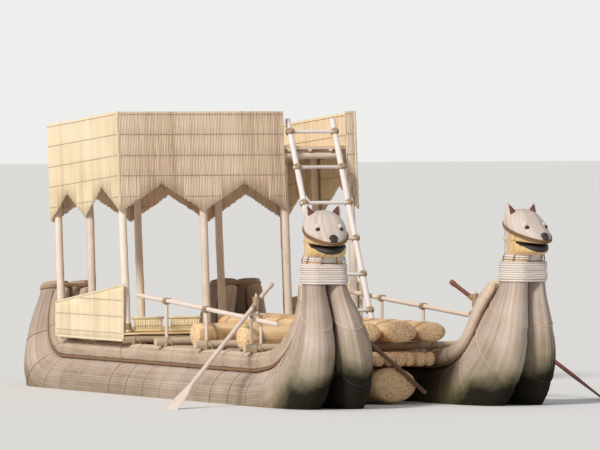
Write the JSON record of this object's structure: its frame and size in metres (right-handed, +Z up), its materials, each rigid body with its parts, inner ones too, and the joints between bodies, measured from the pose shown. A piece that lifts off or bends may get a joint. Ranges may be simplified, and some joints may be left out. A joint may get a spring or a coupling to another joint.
{
  "type": "reed boat",
  "caption": "Double-hulled reed boat with raised animal-head prows, a two-storey reed cabin at the stern, a ladder, handrails and sweeping oars on crutches.",
  "frame": {"origin": "bottom centre of the bounding box, at keel level", "axes": "+X to the bow, +Y to port, +Z up"},
  "size_m": [7.5208, 5.3342, 3.398],
  "materials": {
    "reed": "dry straw-coloured reed bundles",
    "reed_mat": "woven reed mat with twine lines",
    "pole": "weathered bare poles",
    "rope": "dark twisted grass rope",
    "head": "bound reed shaped as an animal head",
    "oar": "worn reddish wood"
  },
  "bodies": {
    "boat": {"beam_aft": "pole", "beam_cabin": "pole", "beam_front": "pole", "beam_ladder": "pole", "beam_midship": "pole", "beam_oar": "pole", "bow_pole": "pole", "cabin_floor": "reed_mat", "centre_float": "reed", "collar_port": "rope", "collar_starboard": "rope", "crutch_port": "pole", "crutch_starboard": "pole", "deck_bundle_middle": "reed", "deck_bundle_port": "reed", "deck_bundle_starboard": "reed", "deck_layer": "reed", "frame_aft": "pole", "frame_front": "pole", "head_port": "head", "head_starboard": "head", "hull_port_inner": "reed", "hull_port_outer": "reed", "hull_starboard_inner": "reed", "hull_starboard_outer": "reed", "ladder": "pole", "mat_aft": "reed_mat", "mat_front": "reed_mat", "mat_front_stub": "reed_mat", "mat_port": "reed_mat", "mat_starboard": "reed_mat", "post_port": "pole", "post_starboard": "pole", "rail_port": "pole", "rail_starboard": "pole", "roll_port_inner": "reed", "roll_port_outer": "reed", "roll_starboard_inner": "reed", "roll_starboard_outer": "reed", "seat_aft": "reed", "seat_fore": "reed", "stern_tie_port": "rope", "stern_tie_starboard": "rope", "upper_deck": "reed_mat", "wall_front_inner": "reed_mat", "wall_front_outer": "reed_mat", "wall_port": "reed_mat", "wall_starboard": "reed_mat"},
    "oar_port": {"oar_port": "oar"},
    "oar_starboard": {"oar_starboard": "oar"}
  },
  "joints": [
    {"name": "oar_port_sweep", "type": "hinge", "parent": "boat", "child": "oar_port", "pos_m": [2.04732, 1.3, 1.387], "axis": [0, 0, 1], "range_deg": [-15, 50]},
    {"name": "oar_starboard_sweep", "type": "hinge", "parent": "boat", "child": "oar_starboard", "pos_m": [2.04732, -1.3, 1.387], "axis": [0, 0, 1], "range_deg": [-50, 15]}
  ]
}
